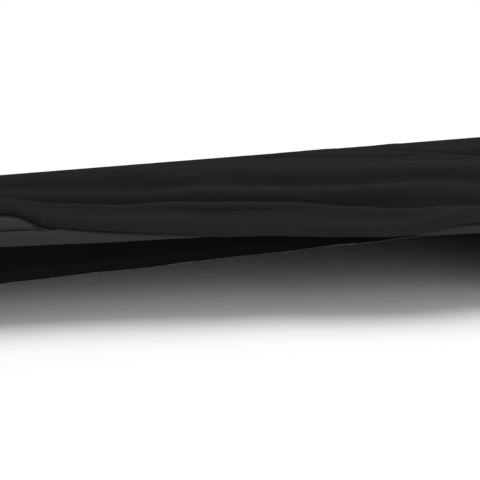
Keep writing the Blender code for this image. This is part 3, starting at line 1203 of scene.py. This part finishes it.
@dataclass
class HemStitches:
    """The two rows of stitches that hold the turned hem, all round the cover.

    uneven is the least and the most of a stitch's length, width and height, as shares of the whole.
    """

    finish: ThreadFinish = field(default_factory=ThreadFinish)
    from_edge: tuple[float, ...] = (0.0112, 0.0088)
    pitch: float = 0.0033
    length: float = 0.0026
    thread: float = 0.00045
    uneven: tuple[tuple[float, float, float], ...] = ((0.90, 0.85, 0.75), (1.05, 1.15, 1.10))
    seed: int = 4

    def path(self, cloth: CoverCloth) -> bpy.types.Mesh:
        """The lines that the stitches follow.

        Args:
            cloth: the sheet that they are sewn into.

        Returns:
            A mesh of closed lines, with the way out of the cloth at each point.
        """
        points, edges, outward = [], [], []
        for distance in self.from_edge:
            line, out = cloth.hem_line(distance)
            first, count = len(points), len(line)
            points += line.tolist()
            outward.append(out)
            edges += [(first + n, first + (n + 1) % count) for n in range(count)]
        mesh = bpy.data.meshes.new("hem_stitches")
        mesh.from_pydata(points, edges, [])
        attribute = mesh.attributes.new("outward", "FLOAT_VECTOR", "POINT")
        attribute.data.foreach_set("vector", np.concatenate(outward).astype(np.float32).ravel())
        return mesh

    def tree(self) -> tuple[bpy.types.NodeTree, dict[str, Any]]:
        """The Geometry Nodes that lay the stitches along the lines.

        Returns:
            The tree, and the value of each named input by the input's identifier.
        """
        tree = bpy.data.node_groups.new("hem_stitches", "GeometryNodeTree")
        named = (
            ("Lines", "NodeSocketGeometry", None),
            ("Pitch", "NodeSocketFloat", self.pitch),
            ("Stitch Length", "NodeSocketFloat", self.length),
            ("Thread Width", "NodeSocketFloat", self.thread),
            ("Seed", "NodeSocketInt", self.seed),
            ("Thread", "NodeSocketMaterial", self.finish.make()),
        )
        values = {
            tree.interface.new_socket(name=name, in_out="INPUT", socket_type=kind).identifier: value
            for name, kind, value in named
        }
        geometry = "NodeSocketGeometry"
        tree.interface.new_socket(name="Stitches", in_out="OUTPUT", socket_type=geometry)

        nodes = Nodes(tree)
        given = nodes.add("NodeGroupInput")
        curve = nodes.add("GeometryNodeMeshToCurve", None, {"Mesh": given.of("Lines")})
        pitch = {"Curve": curve, "Length": given.of("Pitch")}
        even = nodes.add("GeometryNodeResampleCurve", {"mode": "LENGTH"}, pitch)
        sphere = {"Segments": 6, "Rings": 4, "Radius": 0.5}
        ball = nodes.add("GeometryNodeMeshUVSphere", None, sphere)
        width = given.of("Thread Width")
        sides = {"X": given.of("Stitch Length"), "Y": width, "Z": width}
        size = nodes.add("ShaderNodeCombineXYZ", None, sides)
        stitch = nodes.add("GeometryNodeTransform", None, {"Geometry": ball, "Scale": size})
        smooth = nodes.add("GeometryNodeSetShadeSmooth", None, {"Geometry": stitch})
        tangent = nodes.add("GeometryNodeInputTangent")
        vector = {"data_type": "FLOAT_VECTOR"}
        out = nodes.add("GeometryNodeInputNamedAttribute", vector, {"Name": "outward"})
        turn = "FunctionNodeAlignRotationToVector"
        ahead = nodes.add(turn, {"axis": "X"}, {"Vector": tangent})
        upright = {"axis": "Z", "pivot_axis": "X"}
        turned = nodes.add(turn, upright, {"Rotation": ahead, "Vector": out})
        least, most = self.uneven
        spread = {0: least, 1: most, "Seed": given.of("Seed")}
        uneven = nodes.add("FunctionNodeRandomValue", vector, spread)
        each = {"Points": even, "Instance": smooth, "Rotation": turned, "Scale": uneven}
        sewn = nodes.add("GeometryNodeInstanceOnPoints", None, each)
        real = nodes.add("GeometryNodeRealizeInstances", None, {"Geometry": sewn})
        thread = {"Geometry": real, "Material": given.of("Thread")}
        inked = nodes.add("GeometryNodeSetMaterial", None, thread)
        nodes.add("NodeGroupOutput", None, {0: inked})
        return tree, values

    def build(self, cloth: CoverCloth) -> bpy.types.Object:
        """Sews the hem.

        Args:
            cloth: the sheet that the stitches are sewn into.

        Returns:
            The stitches as one piece.
        """
        piece = add_object("hem_stitches", self.path(cloth))
        sewing = piece.modifiers.new("stitches", "NODES")
        sewing.node_group, values = self.tree()
        for identifier, value in values.items():
            if value is not None:
                sewing[identifier] = value
        evaluated = piece.evaluated_get(bpy.context.evaluated_depsgraph_get())
        mesh = bpy.data.meshes.new_from_object(evaluated)
        piece.modifiers.remove(sewing)
        piece.data = mesh
        return piece

    def declare(self, piece: bpy.types.Object) -> None:
        """Attaches the stitches to the body."""
        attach(piece, BODY)


@dataclass(frozen=True)
class SoftLight:
    """A wide soft light that falls evenly on everything.

    toward is the way from the cover to the light, and spread is how wide the light looks.
    """

    name: str
    toward: tuple[float, float, float]
    spread: float
    strength: float

    def build(self) -> None:
        """Builds the light."""
        data = bpy.data.lights.new(self.name, "SUN")
        data.energy = self.strength
        data.angle = math.radians(self.spread)
        light = add_object(self.name, data)
        light.matrix_world = Vector(self.toward).to_track_quat("Z", "Y").to_matrix().to_4x4()


@dataclass
class Studio:
    """A pale floor, a white background, soft lights and the camera.

    ambient is the strength of the even light, and yaw, pitch and roll turn the camera, in degrees.
    """

    floor_z: float
    floor_size: float = 12.0
    ambient: float = 0.44
    camera_place: tuple[float, float, float] = (-0.1675, -0.8086, 0.1078)
    yaw: float = 14.95
    pitch: float = 12.945
    roll: float = -2.73
    lens: float = 57.63
    nearest: float = 0.01
    lights: tuple[SoftLight, ...] = (
        SoftLight("overhead", (0.05, 0.30, 0.95), 50.0, 1.90),
        SoftLight("front", (0.10, -0.95, 0.30), 60.0, 0.95),
    )

    def build_floor(self) -> None:
        """Builds the floor."""
        half = self.floor_size / 2
        corners = ((-half, -half), (half, -half), (half, half), (-half, half))
        mesh = bpy.data.meshes.new("floor")
        mesh.from_pydata([(x, y, self.floor_z) for x, y in corners], [], [(0, 1, 2, 3)])
        mesh.materials.append(FloorFinish().make())
        add_object("floor", mesh)

    def build_world(self) -> None:
        """White to the camera, and a weaker even light on everything else."""
        world = bpy.data.worlds.new("white_room")
        world.use_nodes = True
        nodes = Nodes(world.node_tree)
        seen = nodes.add("ShaderNodeLightPath", output="Is Camera Ray")
        glow = {"Strength": self.ambient + (1 - self.ambient) * seen, "Color": WHITE}
        surface = nodes.add("ShaderNodeBackground", None, glow)
        nodes.add("ShaderNodeOutputWorld", None, {"Surface": surface})
        bpy.context.scene.world = world

    def build_camera(self) -> None:
        """Builds the camera at the photograph's viewpoint."""
        camera = add_object("camera", bpy.data.cameras.new("camera"))
        camera.data.lens = self.lens
        camera.data.clip_start = self.nearest
        camera.matrix_world = (
            Matrix.Translation(self.camera_place)
            @ Matrix.Rotation(-math.radians(self.yaw), 4, "Z")
            @ Matrix.Rotation(math.radians(90 - self.pitch), 4, "X")
            @ Matrix.Rotation(math.radians(self.roll), 4, "Z")
        )
        bpy.context.scene.camera = camera

    def build(self) -> None:
        """Builds the studio."""
        self.build_floor()
        self.build_world()
        for light in self.lights:
            light.build()
        self.build_camera()
        bpy.context.scene.view_settings.view_transform = "Standard"


def main() -> None:
    """Builds the cover on its solid, and the studio round it."""
    logging.basicConfig(level=logging.INFO, format="%(name)s: %(message)s")
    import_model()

    cloth = CoverCloth(FittedBody.from_solid(SOLID))
    cover = cloth.build()
    LOG.info("%s: %d rows of %d points", cover.name, *cloth.grid.shape[:2])
    stitches = HemStitches()
    sewing = stitches.build(cloth)
    LOG.info("%s: %d faces", sewing.name, len(sewing.data.polygons))
    stitches.declare(sewing)
    cloth.declare(cover, [sewing])

    Studio(floor_z=cloth.body.hem_z - FLOOR_GAP).build()


if __name__ == "__main__":
    main()
